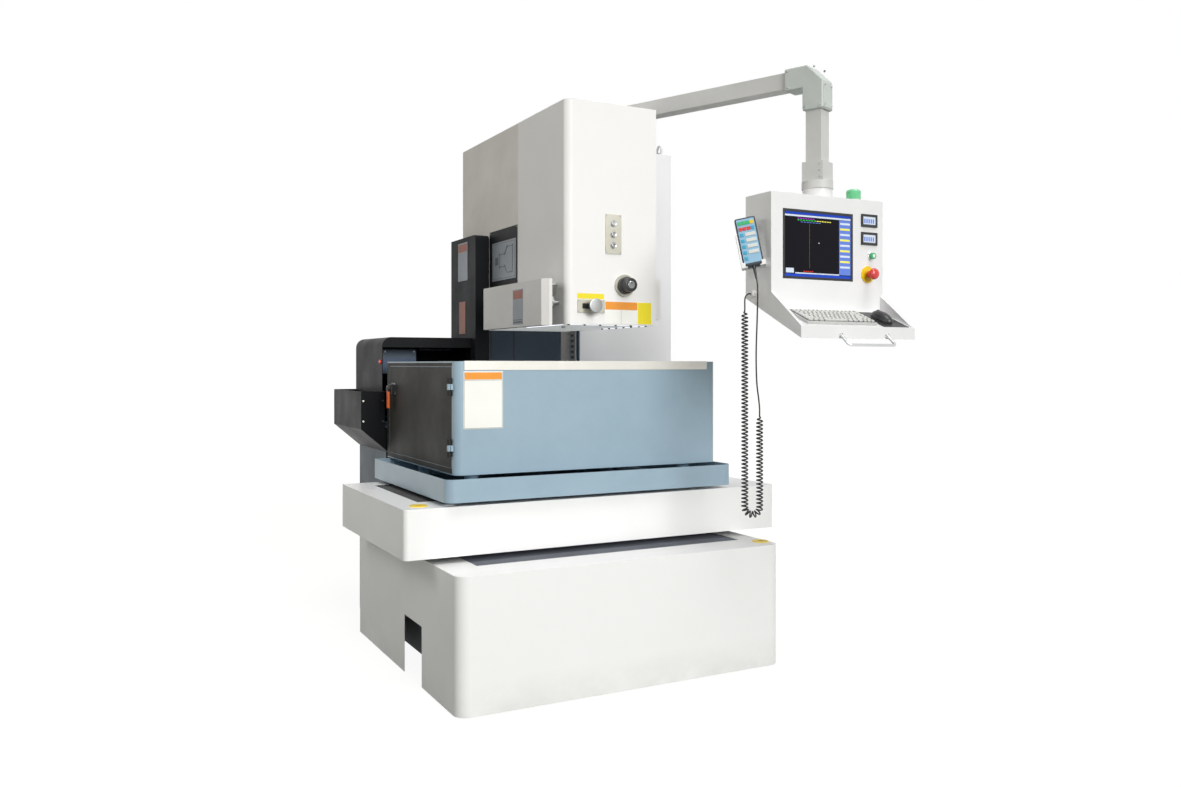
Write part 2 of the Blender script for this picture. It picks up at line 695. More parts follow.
@dataclass
class PlainNodes:
    """CAD nodes whose shape stays and that only get a better material."""

    finishes: dict[str, Finish] = field(
        default_factory=lambda: {
            "leveling_feet": DARK_STEEL,
            "bed_casting": CAST_IRON,
            "y_drive": STEEL,
            "column_casting": CAST_IRON,
            "head_floor": LAMP_WHITE,
            "cutting_wire": BRASS,
            "cabinet_body": CABINET_WHITE,
            "cabinet_electrics": ELECTRICS,
            "head_fittings": PLATE_STEEL,
            "wheel_bracket": STEEL,
            "arm_post": DARK_STEEL,
            "saddle_casting": CAST_IRON,
            "x_drive": STEEL,
            "table_carriage": CAST_IRON,
            "tank_door": CHARCOAL,
            "drum_carriage": MOTOR_BLUE,
            "wire_drum": BRASS,
            "wheel_front": STEEL,
            "wheel_rear": STEEL,
        }
    )

    def build(self) -> None:
        """Gives each node its material."""
        for node, finish in self.finishes.items():
            thing = frame["nodes"][node]
            for place in thing.material_slots:
                place.material = finish.material()
            LOG.info("%s: %s", node, finish.name)


@dataclass
class CurlyCord:
    """Curly cord from the pendant's gland down, round and up to the handset."""

    diameter: float = 5.2
    radius: float = 9.8
    curls: int = 82
    points_per_curl: int = 16
    fade: float = 1.5
    a: tuple[float, float] = (990.0, -130.0)
    b: tuple[float, float] = (1030.0, -160.0)
    a_top: float = 1290.0
    b_top: float = 930.0
    low: float = 611.0
    gland: tuple[Point, ...] = (
        (1015, -130, 1342), (1009, -130, 1342), (1003, -130, 1340), (996, -130, 1335),
        (991.5, -130, 1327), (990, -130, 1317), (990, -130, 1304), (990, -130, 1290),
    )
    hand: tuple[Point, ...] = (
        (988, -197.4, 1388.6), (988.8, -200, 1377), (990, -201.5, 1355), (992.5, -198, 1310),
        (996, -190.5, 1240), (999.5, -181.5, 1160), (1003.6, -176, 1090), (1012, -169, 1030),
        (1023, -163.5, 985), (1029, -160.5, 955), (1030, -160, 942), (1030, -160, 930),
    )

    def smooth(self, points: tuple[Point, ...], steps: int = 4) -> list[Vector]:
        """Runs a smooth line through points.

        Args:
            points: The points.
            steps: Steps between two of them.

        Returns:
            Points of the line.
        """
        p = [Vector(q) for q in points]
        line = []
        for i in range(len(p) - 1):
            a, b, c, d = p[max(i - 1, 0)], p[i], p[i + 1], p[min(i + 2, len(p) - 1)]
            for k in range(steps):
                t = k / steps
                line.append(
                    (
                        2 * b + (c - a) * t + (2 * a - 5 * b + 4 * c - d) * t * t
                        + (3 * b - a - 3 * c + d) * t**3
                    ) / 2
                )
        return line + [p[-1]]

    def curled(self) -> list[Vector]:
        """Gives the points of the curled stretch, from the gland's side to the handset's."""
        across = Vector((self.b[0] - self.a[0], self.b[1] - self.a[1], 0))
        turn_r = across.length / 2
        across.normalize()
        side = across.cross(Vector((0, 0, 1)))
        down = self.a_top - self.low
        half = math.pi * turn_r
        total = down + half + self.b_top - self.low
        pitch = (total - 2 * self.diameter) / self.curls
        middle = Vector(((self.a[0] + self.b[0]) / 2, (self.a[1] + self.b[1]) / 2, self.low))
        count = self.curls * self.points_per_curl
        line = []
        for i in range(count + 1):
            s = self.diameter + i * (total - 2 * self.diameter) / count
            angle = math.pi * min(max((s - down) / half, 0), 1)
            inward = math.cos(angle) * across + Vector((0, 0, math.sin(angle)))
            at = middle - turn_r * inward + Vector((0, 0, max(down - s, 0) + max(s - down - half, 0)))
            turned = 2 * math.pi * (s - self.diameter) / pitch
            k = min(max(min(s, total - s) - self.diameter, 0) / (self.fade * pitch), 1)
            out = math.cos(turned) * inward + math.sin(turned) * side
            line.append(at + self.radius * k * k * (3 - 2 * k) * out)
        return line

    def build(self) -> None:
        line = self.smooth(self.gland) + self.curled() + self.smooth(self.hand)[::-1]
        points = [TO_ROW @ p for p in line]
        curve = bpy.data.curves.new("curly_cord", "CURVE")
        curve.dimensions = "3D"
        curve.bevel_depth = self.diameter / 2000
        curve.bevel_resolution = 3
        curve.use_fill_caps = True
        spline = curve.splines.new("POLY")
        spline.points.add(len(points) - 1)
        for place, p in zip(spline.points, points):
            place.co = (*p, 1.0)
        made = bpy.data.objects.new("curly_cord", curve)
        bpy.context.scene.collection.objects.link(made)
        curve.materials.append(CORD_BLACK.material())
        spline.use_smooth = True
        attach(made, "pendant")
        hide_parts("cord_leads", "cord_curls")


@dataclass
class Bellows:
    """Pleated way covers of the base and of the saddle, which stretch with the slides."""

    pleat: float = 14.0
    deep: float = 7.0
    thick: float = 1.2

    def strip(
        self, name: str, node: str, along: int, finish: Finish, ends: tuple[str, str], slot: str,
    ) -> None:
        """Builds one pleated strip in a node's box and blends it between two bodies.

        Args:
            name: Name of the piece.
            node: CAD node that it stands for.
            along: Axis that its length lies along, 0 for X and 1 for Y.
            finish: Its finish.
            ends: Bodies at its lower and higher end.
            slot: Material slot of the record.
        """
        low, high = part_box(node)
        size = high - low
        pleats = max(2, round(size[along] * 1000 / self.pleat))
        per = 6
        shape = bmesh.new()
        bmesh.ops.create_grid(shape, x_segments=pleats * per, y_segments=6, size=0.5)
        for v in shape.verts:
            u, w = v.co.x + 0.5, v.co.y + 0.5
            wave = abs((u * pleats) % 1.0 - 0.5) * 2
            crest = 1 - wave**1.6
            fall = min(1.0, min(w, 1 - w) * size[1 - along] * 1000 / 6)
            v.co.x = low[along] + u * size[along]
            v.co.y = low[1 - along] + w * size[1 - along]
            v.co.z = high.z - 0.0002 - (self.deep * (1 - crest) + 2.0 * (1 - fall)) / 1000
        if along == 1:
            bmesh.ops.transform(shape, matrix=SWAP_XY, verts=shape.verts)
            bmesh.ops.reverse_faces(shape, faces=shape.faces)
        bmesh.ops.recalc_face_normals(shape, faces=shape.faces)
        if sum(f.normal.z for f in shape.faces) < 0:
            bmesh.ops.reverse_faces(shape, faces=shape.faces)
        bmesh.ops.solidify(shape, geom=list(shape.faces), thickness=self.thick / 1000)
        bmesh.ops.recalc_face_normals(shape, faces=shape.faces)
        made = placed(name, shape)
        made.data.materials.append(finish.material())
        soften(made.data)
        start, end = Vector(low), Vector(low)
        end[along] = high[along]
        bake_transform(made)
        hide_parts(node)
        LOG.info("%s: %d faces", name, len(made.data.polygons))

    def build(self) -> None:
        """Builds the four strips."""
        self.strip(
            "base_pleats_front", "y_bellows_front", 1, GREY_BELLOWS, ("machine", "saddle"), "grey_bellows",
        )
        self.strip(
            "base_pleats_rear", "y_bellows_rear", 1, GREY_BELLOWS, ("saddle", "machine"), "grey_bellows",
        )
        self.strip(
            "saddle_pleats_left", "x_bellows_left", 0, BLACK_BELLOWS, ("saddle", "table"), "black_bellows",
        )
        self.strip(
            "saddle_pleats_right", "x_bellows_right", 0, BLACK_BELLOWS, ("table", "saddle"),
            "black_bellows",
        )


@dataclass
class Pendant:
    """Control pendant: screen, meters, buttons, beacon, keyboard, mouse and handle."""

    x: float = 1030.0
    y: float = -223.4
    top: float = 1683.0
    tilt: float = math.radians(22.249)
    tray_foot: Point = (0, -154, 1225)
    screen_at: tuple[float, float] = (49.0, 1391.0)
    screen_size: tuple[float, float] = (311.0, 238.0)
    screen_rim: float = 9.0
    meter_x: float = 397.0
    meter_drops: tuple[float, float] = (95.0, 159.0)
    meter_size: tuple[float, float] = (74.0, 45.0)
    start_x: float = 444.0
    start_drop: float = 198.0
    stop_x: float = 428.0
    stop_drop: float = 264.0
    rows: tuple[tuple[float, ...], ...] = (
        (1, 1, 1, 1, 1, 1, 1, 1, 1, 1, 1, 1, 1, 1, 1, 1),
        (1, 1, 1, 1, 1, 1, 1, 1, 1, 1, 1, 1, 1, 2, 1),
        (1.5, 1, 1, 1, 1, 1, 1, 1, 1, 1, 1, 1, 1, 1.5, 1),
        (1.8, 1, 1, 1, 1, 1, 1, 1, 1, 1, 1, 1, 2.2, 1),
        (2.3, 1, 1, 1, 1, 1, 1, 1, 1, 1, 1, 1.7, 1, 1),
        (1.3, 1.3, 1.3, 6, 1.3, 1.3, 1.3, 1, 1, 1),
    )

    def place(self) -> Matrix:
        """Gives the pendant's own frame."""
        return Matrix.Translation((self.x, self.y, 0))

    def tray(self) -> Matrix:
        """Gives the keyboard tray's frame, with Y up the slope."""
        return self.place() @ Matrix.Translation(self.tray_foot) @ Matrix.Rotation(self.tilt, 4, "X")

    def build(self) -> None:
        """Builds every piece of the pendant."""
        self.monitor()
        self.buttons()
        self.beacon()
        self.keyboard()
        self.handle()

    def monitor(self) -> None:
        """Builds the monitor with its screen, and the two meters."""
        p = Piece("pendant_screens", self.place())
        (x, z), (w, h), rim = self.screen_at, self.screen_size, self.screen_rim
        p.box((x - 6, 3.2, z - 6), (w + 12, 44, h + 12), BLACK_PLASTIC, 1.5)
        self.black_rim(p, (x, z), (w, h), (rim, rim), (-0.5, 3.5), 0.8)
        sx, sz, sw, sh = x + rim, z + rim, w - 2 * rim, h - 2 * rim
        p.box((sx, 2.4, sz), (sw, 1.0, sh), SCREEN_BLACK, 0)
        p.box((sx, 2.0, sz + sh - 8), (sw, 0.6, 8), SCREEN_BLUE, 0)
        p.box((sx, 2.0, sz + sh - 15), (sw, 0.6, 6), SCREEN_PALE, 0)
        p.box((sx + sw - 52, 2.0, sz + 12), (52, 0.6, sh - 28), SCREEN_LILAC, 0)
        for i in range(9):
            p.box(
                (sx + sw - 48, 1.7, sz + sh - 32 - i * 19), (44, 0.5, 7),
                SCREEN_YELLOW if i % 2 else SCREEN_PALE, 0,
            )
        p.box((sx, 2.0, sz), (sw, 0.6, 9), SCREEN_BLUE, 0)
        p.box((sx + 6, 2.0, sz + 12), (34, 0.6, 16), SCREEN_PALE, 0)
        p.box((sx + 108, 2.0, sz + 30), (0.8, 0.6, sh - 66), SCREEN_OCHRE, 0)
        for i in range(7):
            p.box((sx + 56 + 11 * i, 1.9, sz + sh - 22), (8, 0.6, 3), SCREEN_VIOLET, 0)
            p.box((sx + 56 + 12 * i, 1.9, sz + sh - 28), (8, 0.6, 3), SCREEN_GREEN, 0)
            p.box((sx + 130 + 11 * i, 1.9, sz + sh - 28), (8, 0.6, 3), SCREEN_YELLOW, 0)
            p.box((sx + 70 + 13 * i, 1.9, sz + sh - 34), (9, 0.6, 2.4), SCREEN_LILAC, 0)
        for i in range(5):
            p.box((sx + 82 + 9 * i, 1.9, sz + 17), (6, 0.6, 3), SCREEN_RED, 0)
        p.box((sx + 46, 2.0, sz + 10), (sw - 98, 0.6, 4), SCREEN_PALE, 0)
        p.turned([(0, 0), (2.2, 0), (2.2, 0.5), (0, 0.5)], (sx + 150, 2.4, sz + 118), FRONT, SCREEN_PALE, 16)
        for drop in self.meter_drops:
            mx, mz = self.meter_x, self.top - drop
            self.black_rim(p, (mx, mz), self.meter_size, (7, 6), (-6, 6), 1.2)
            p.box((mx + 3, -3.4, mz + 3), (68, 33, 39), DARK_GREY, 0.5)
            p.box((mx + 9, -4.2, mz + 9), (56, 1.0, 27), SCREEN_PALE, 0.3)
            for i in range(5):
                p.box((mx + 12 + 10 * i, -4.5, mz + 13), (6, 0.5, 15), SCREEN_LILAC, 0.2)
        p.turned(
            [
                (0, 15), (3, 15), (7.4, 14.6), (8.6, 12), (11, 11.4), (11, 7), (13, 6.4), (13, 0.6),
                (12.4, 0), (0, 0),
            ],
            (0, 93.4, 1342), LEFT, STEEL, 24,
        )
        p.done("pendant", ("pendant_fittings",), "black_plastic")

    def black_rim(
        self, p: Piece, at: tuple[float, float], size: tuple[float, float], bar: tuple[float, float],
        reach: tuple[float, float], edge: float,
    ) -> None:
        """Adds the four black bars of an upright rim.

        Args:
            p: Piece to add them to.
            at: Lowest corner of the rim in X and Z.
            size: Its width and height.
            bar: Width of its upright bars and height of its level ones.
            reach: Place of its near face in Y, and its thickness.
            edge: Width of the softened edges.
        """
        (x, z), (w, h), (side, level), (y, thick) = at, size, bar, reach
        for low, sizes in (
            ((x, y, z), (w, thick, level)), ((x, y, z + h - level), (w, thick, level)),
            ((x, y, z + level), (side, thick, h - 2 * level)),
            ((x + w - side, y, z + level), (side, thick, h - 2 * level)),
        ):
            p.box(low, sizes, BLACK_PLASTIC, edge)

    def buttons(self) -> None:
        """Builds the start button's bezel and the mushroom button with its yellow plate."""
        p = Piece("button_plates", self.place())
        start_z, stop_z = self.top - self.start_drop, self.top - self.stop_drop
        p.turned(
            [(11.3, 0), (15, 0), (15, 3.6), (13.8, 5), (11.3, 5), (11.3, 0)], (self.start_x, 0, start_z),
            FRONT, CHROME,
        )
        p.turned(
            [(8.3, 0), (30, 0), (30, 2), (29, 3), (8.3, 3), (8.3, 0)], (self.stop_x, 0, stop_z), FRONT,
            YELLOW, 56,
        )
        p.done("pendant", slot="black_plastic")
        s = Piece("stop_mushroom", self.place())
        s.turned(
            [
                (0, 45), (8, 44.6), (14, 43), (18.2, 39.6), (20, 35), (20, 31), (18.6, 29), (13, 29),
                (13, 13), (12, 9), (8, 9), (8, -3), (0, -3),
            ],
            (self.stop_x, 0, stop_z), FRONT, RED, 48,
        )
        s.done("emergency_stop", ("emergency_stop",), "red_plastic")
        g = Piece("start_cap", self.place())
        g.turned(
            [(0, 16.4), (6.4, 16.4), (7.2, 17), (10.2, 16.6), (11, 15.6), (11, -2.8), (0, -2.8)],
            (self.start_x, 0, start_z), FRONT, GREEN,
        )
        g.turned(
            [(0, 0), (6.2, 0), (6.2, 0.5), (5.4, 0.8), (0, 0.8)], (self.start_x, -16.2, start_z), FRONT,
            CARD_WHITE, 28,
        )
        g.done("start_button", ("start_button",), "green_plastic")

    def beacon(self) -> None:
        """Builds the beacon with its ridged lens."""
        p = Piece("beacon_lamp", self.place())
        foot = (self.stop_x, 71.2, self.top)
        p.turned([(0, 0), (29, 0), (29, 9), (27.5, 12), (0, 12)], foot, UP, GREY_PLASTIC, 48)
        ribs = [(27 - 1.6 * (i % 2), 12 + i * 1.9) for i in range(15)]
        p.turned([(0, 12), *ribs, (26.4, 42), (24, 46), (18, 49), (9, 50), (0, 50)], foot, UP, LENS_GREEN, 56)
        p.done("pendant", ("beacon",), "green_lens")

    def keyboard(self) -> None:
        """Builds the keyboard with its keys, and the mouse on its pad."""
        p = Piece("keyboard", self.tray())
        x, y, w, d = 40.0, 16.0, 300.0, 118.0
        p.box((x, y, 0.2), (w, d, 9.8), GREY_PLASTIC, 2.0, 3)
        p.box((x + 2.5, y + 2.5, 9.3), (w - 5, d - 5, 1.1), KEY_GAP, 0.4)
        step = (d - 10) / len(self.rows)
        for j, widths in enumerate(reversed(self.rows)):
            unit = (w - 12) / sum(widths)
            at = x + 6
            for wide in widths:
                self.key(p, at, y + 5 + j * step, wide * unit, step)
                at += wide * unit
        mouse_x, mouse_y = 415.0, 78.0
        p.box((mouse_x - 56, mouse_y - 74, 0.1), (118, 148, 1.6), BLACK_PLASTIC, 0.7)
        shape = bmesh.new()
        bmesh.ops.create_uvsphere(shape, u_segments=32, v_segments=20, radius=1.0)
        cut = bmesh.ops.bisect_plane(
            shape, geom=list(shape.verts) + list(shape.edges) + list(shape.faces), plane_co=(0, 0, 0),
            plane_no=(0, 0, -1), clear_outer=True
        )["geom_cut"]
        bmesh.ops.contextual_create(shape, geom=[g for g in cut if isinstance(g, bmesh.types.BMEdge)])
        for v in shape.verts:
            v.co.y *= 1.0 + 0.12 * v.co.z
        bmesh.ops.transform(
            shape, matrix=Matrix.Translation((mouse_x, mouse_y, 1.6)) @ Matrix.Diagonal((28, 48, 27, 1)),
            verts=shape.verts,
        )
        bmesh.ops.recalc_face_normals(shape, faces=shape.faces)
        p.take(shape, BLACK_PLASTIC)
        p.turned(
            [(0, -5), (5, -5), (6, -3.5), (6, 3.5), (5, 5), (0, 5)], (mouse_x, mouse_y + 26, 22), RIGHT,
            DARK_GREY, 24,
        )
        p.done("pendant", ("keyboard_and_mouse",), "grey_plastic")

    def key(self, p: Piece, x: float, y: float, w: float, d: float) -> None:
        """Adds one key whose top is smaller than its foot.

        Args:
            p: Piece to add it to.
            x: Left side of its place.
            y: Near side of its place.
            w: Width of its place.
            d: Depth of its place.
        """
        mid, rise = 12.6, 4.8
        place = Matrix.Translation((x + w / 2, y + d / 2, mid))
        shape = bmesh.new()
        bmesh.ops.create_cube(
            shape, size=1.0, matrix=place @ Matrix.Diagonal((w - 5.6, d - 5.8, rise, 1)),
        )
        for v in shape.verts:
            if v.co.z > mid:
                v.co.x += (x + w / 2 - v.co.x) * 2.4 / w
                v.co.y += (y + d / 2 - v.co.y) * 0.14
        top = [e for e in shape.edges if all(v.co.z > mid for v in e.verts)]
        bevel(shape, top, 0.8, 1)
        p.take(shape, KEY_GREY)

    def handle(self) -> None:
        """Builds the bent chrome bar under the tray."""
        p = Piece("tray_handle", self.place())
        y0, z0, y1, z1 = -196.0, 1163.0, -154.0, 1199.0
        bend = 14.0
        run = Vector((0, y1 - y0, z1 - z0)).normalized()
        left, right = Vector((165, y0, z0)), Vector((370, y0, z0))
        line = [Vector((165, y1 - 0.3, z1))]
        for corner, a, b in ((left, run, Vector((1, 0, 0))), (right, Vector((-1, 0, 0)), run)):
            for k in range(9):
                t = k / 8
                line.append(corner + bend * ((1 - t) ** 2 * a + t * t * b))
        line.append(Vector((370, y1 - 0.3, z1)))
        p.pipe([tuple(q) for q in line], 5.0, CHROME, 24)
        for x in (165, 370):
            foot = Vector((x, y1, z1)) - run * 2
            p.turned([(0, 0), (9, 0), (9, 1.6), (5.2, 4), (0, 4)], tuple(foot), tuple(-run), CHROME, 32)
        p.done("pendant", ("pendant_handle",), "chrome")


@dataclass
class Handset:
    """Handset in its holder: a rounded case with rows of keys, and the cord's strain relief."""

    w: float = 70.0
    l: float = 170.0
    t: float = 28.0
    middle: Point = (979, -168.7, 1513)
    turns: tuple[tuple[float, str], ...] = ((-37, "Z"), (-8, "X"), (-11, "Y"))
    rows: tuple[tuple[Finish, ...], ...] = ((GREEN, GREEN, GREEN, YELLOW), (RED, RED, RED, CYAN))

    def build(self) -> None:
        """Builds the handset."""
        at = Matrix.Translation(self.middle)
        for angle, axis in self.turns:
            at = at @ Matrix.Rotation(math.radians(angle), 4, axis)
        p = Piece("handset_keys", at)
        w, l, t = self.w, self.l, self.t
        p.box((-w / 2, -t / 2, -l / 2), (w, t, l), HANDSET_BLUE, 6.0, 4)
        p.box((-w / 2 + 5, -t / 2 - 0.5, -l / 2 + 10), (w - 10, 1.5, l - 16), KEYPAD_BLUE, 0.6)
        for j in range(7):
            z = l / 2 - 20 - j * 20.5
            if j < len(self.rows):
                for i, finish in enumerate(self.rows[j]):
                    p.box((-w / 2 + 8.2 + i * 13.6, -t / 2 - 2.6, z - 6.4), (12.4, 3, 12.8), finish, 1.6, 3)
            else:
                p.box((-w / 2 + 9, -t / 2 - 2.6, z - 6), (12.5, 3, 12), CYAN, 2.4, 3)
                if j < 6:
                    p.box((-w / 2 + 26, -t / 2 - 2.8, z - 6), (35, 3.2, 12), KEY_GREY, 3.0, 3)
        low = -l / 2
        profile = [(0, 0), (6, 0)]
        for i in range(9):
            r = 5.9 - 0.25 * i
            profile += [
                (r, 2 + i * 4.6), (r, 4.4 + i * 4.6), (r - 0.8, 4.8 + i * 4.6), (r - 0.8, 6.2 + i * 4.6),
            ]
        profile += [(3.0, 45), (0, 45)]
        p.turned(
            [(min(r, 6.0), min(h, 45.0)) for r, h in profile], (0, 0, low), (0, 0, -1), BLACK_PLASTIC, 28,
        )
        p.done("pendant", ("handset",), "handset_blue")


@dataclass
class HeadTrim:
    """Small pieces of the head: buttons, dial, slide knob, plates, screws and lamps."""

    x: float = 552.0
    y: float = 363.0
    floor: float = 1247.6
    button_x: float = 748.0
    button_zs: tuple[float, ...] = (1627.0, 1586.0, 1546.0)
    dial_x: float = 796.0
    dial_z: float = 1396.0
    knob_x: float = 653.7
    knob_z: float = 1315.0

    def build(self) -> None:
        """Builds every small piece of the head."""
        self.buttons()
        self.dial()
        self.slide_knob()
        self.front_plates()
        self.side_plates()
        self.lamps()

    def buttons(self) -> None:
        """Builds the three round push buttons."""
        for word, z in zip(("top", "middle", "bottom"), self.button_zs):
            p = Piece(f"{word}_push_button")
            p.turned(
                [(0, 10.6), (6.4, 10.8), (7.0, 11.6), (8.2, 12), (9.4, 11.4), (10, 10), (10, -3), (0, -3)],
                (self.button_x, self.y, z), FRONT, CHROME, 36,
            )
            p.done(f"{word}_button", (f"button_{word}",), "chrome")

    def dial(self) -> None:
        """Builds the black dial with its fluted rim and bright cap."""
        p = Piece("flow_dial")
        foot = (self.dial_x, self.y - 8, self.dial_z)
        p.turned(
            [
                (0, 49), (22, 49), (24.5, 48), (26, 45.5), (26.5, 24), (30, 21), (31.5, 18), (32.4, 15.5),
                (32.4, 2), (31, 0.4), (0, 0.4),
            ],
            foot, FRONT, BLACK_PLASTIC, 48,
        )
        p.turned(
            [(0, 0), (13.5, 0), (13.5, 0.9), (12.4, 1.7), (0, 1.7)],
            (self.dial_x, self.y - 57, self.dial_z), FRONT, CHROME, 36,
        )
        for i in range(24):
            a = 2 * math.pi * i / 24
            p.turned(
                [(0, 0), (1.7, 0), (1.7, 15), (1.0, 16), (0, 16)],
                (self.dial_x + 31.2 * math.cos(a), self.y - 9, self.dial_z + 31.2 * math.sin(a)), FRONT,
                BLACK_PLASTIC, 8,
            )
        p.box((self.dial_x - 1.6, self.y - 59.2, self.dial_z + 1), (3.2, 0.8, 10.5), BLACK_PLASTIC, 0.3)
        p.done("dial", ("dial_knob",), "black_plastic")

    def slide_knob(self) -> None:
        """Builds the round knob of the slide with its stem."""
        p = Piece("slide_disc")
        p.turned(
            [
                (0, 45), (23, 45), (25.4, 44.2), (26.5, 42.4), (26.5, 39.6), (25.4, 37.6), (23, 37),
                (8, 37), (8, 1), (0, 1),
            ],
            (self.knob_x, self.y, self.knob_z), FRONT, STEEL, 48,
        )
        p.done("slide_knob", ("slide_knob",), "steel")

    def front_plates(self) -> None:
        """Builds the blank plates, the screws and the dark slot on the head's front."""
        p = Piece("head_plates")
        y = self.y
        p.box((598, y - 0.8, 1342), (111, 0.9, 20), CARD_YELLOW, 0.3)
        p.box((714, y - 0.7, 1251), (202, 0.8, 84), CARD_WHITE, 0.3)
        p.box((715, y - 1.0, 1304.5), (138, 0.6, 29.5), CARD_ORANGE, 0.2)
        p.box((855, y - 1.0, 1252), (60, 0.6, 82), CARD_YELLOW, 0.2)
        p.box((782.5, y - 0.9, 1252), (0.8, 0.5, 52), DARK_GREY, 0)
        p.box((617.2, y - 2.2, 1305.2), (44.6, 2.1, 19.6), BLACK_PLASTIC, 0.2)
        for x in (603.5, 705.5):
            for z in (1296.5, 1333.5):
                p.screw((x, y - 4, z), FRONT, 2.6)
        for x in (720.5, 777.5):
            for z in (1518.5, 1655.5):
                p.screw((x, y - 3, z), FRONT, 2.6)
        for z in self.button_zs:
            p.turned(
                [(10.6, 3), (13, 3), (13, 4), (12.2, 5), (10.6, 5), (10.6, 3)], (self.button_x, y, z),
                FRONT, STEEL, 36,
            )
        for i in range(4):
            a = math.radians(45 + 90 * i)
            p.screw((self.dial_x + 37.2 * math.cos(a), y - 8, self.dial_z + 37.2 * math.sin(a)), FRONT, 2.2)
        p.done("machine", slot="steel")
        a = Piece("arm_cover_plate")
        a.box((463.2, 552, 1252), (1.0, 96, 134), PLATE_GREY, 0.3)
        a.box((462.8, 556, 1350), (0.8, 88, 32), PLATE_RUST, 0.2)
        a.box((462.9, 560, 1258), (0.6, 80, 6), DARK_GREY, 0)
        a.box((462.9, 560, 1268), (0.6, 80, 3), DARK_GREY, 0)
        a.done("arm_cover", slot="steel")

    def side_plates(self) -> None:
        """Builds the black plate on the head's left side with its wire route plate."""
        p = Piece("route_plate")
        x = self.x
        p.box((x - 2, 806, self.floor + 0.5), (2, 296, 418), BLACK_PAINT, 0.6)
        p.box((x - 3.2, 819, 1452), (1.4, 249, 162), PLATE_GREY, 0.5)
        for low, size in (
            ((x - 3.6, 826, 1459), (0.5, 235, 1.6)), ((x - 3.6, 826, 1605.4), (0.5, 235, 1.6)),
            ((x - 3.6, 826, 1459), (0.5, 1.6, 148)), ((x - 3.6, 1059.4, 1459), (0.5, 1.6, 148)),
        ):
            p.box(low, size, DARK_GREY, 0)
        route = [
            (850, 1480), (850, 1588), (905, 1588), (930, 1560), (985, 1560), (985, 1508), (930, 1508),
            (905, 1480), (850, 1480),
        ]
        p.pipe([(x - 3.6, a, b) for a, b in route], 1.5, DARK_GREY, 8)
        for a, b in route[1:7]:
            p.turned([(0, 0), (5, 0), (5, 1), (4.4, 1.6), (0, 1.6)], (x - 3.0, a, b), LEFT, DARK_GREY, 20)
        p.box((x - 3.6, 1000, 1518), (0.5, 34, 32), DARK_GREY, 0.2)
        for a in (812, 1096):
            p.screw((x - 2, a, 1660), LEFT, 3.0)
        p.done("machine", slot="black_paint")
        t = Piece("tower_plates")
        t.box((487.8, 1206, 1468), (1.4, 116, 168), PLATE_GREY, 0.5)
        t.box((487.4, 1211, 1596), (0.8, 106, 34), PLATE_RUST, 0.3)
        t.box((487.8, 1232, 1234), (1.4, 76, 142), PLATE_RUST, 0.5)
        t.done("machine", slot="black_paint")

    def lamps(self) -> None:
        """Builds the lamp strips and the black screws under the head."""
        p = Piece("head_lamps")
        z = self.floor
        for low, size in (
            ((590, 400, z - 0.9), (300, 10, 1.1)), ((566, 430, z - 0.9), (10, 320, 1.1)),
            ((915, 430, z - 0.9), (10, 320, 1.1)),
        ):
            p.box(low, size, LAMP_GLOW, 0.4)
        for i in range(6):
            for x, y in ((575 + 66 * i, 388), (900, 430 + 60 * i)):
                p.turned(
                    [(0, 0), (5, 0), (5, 2.4), (3.6, 4), (0, 4)], (x, y, z), (0, 0, -1), BLACK_PLASTIC, 18,
                )
        p.done("machine", slot="lamp_white")


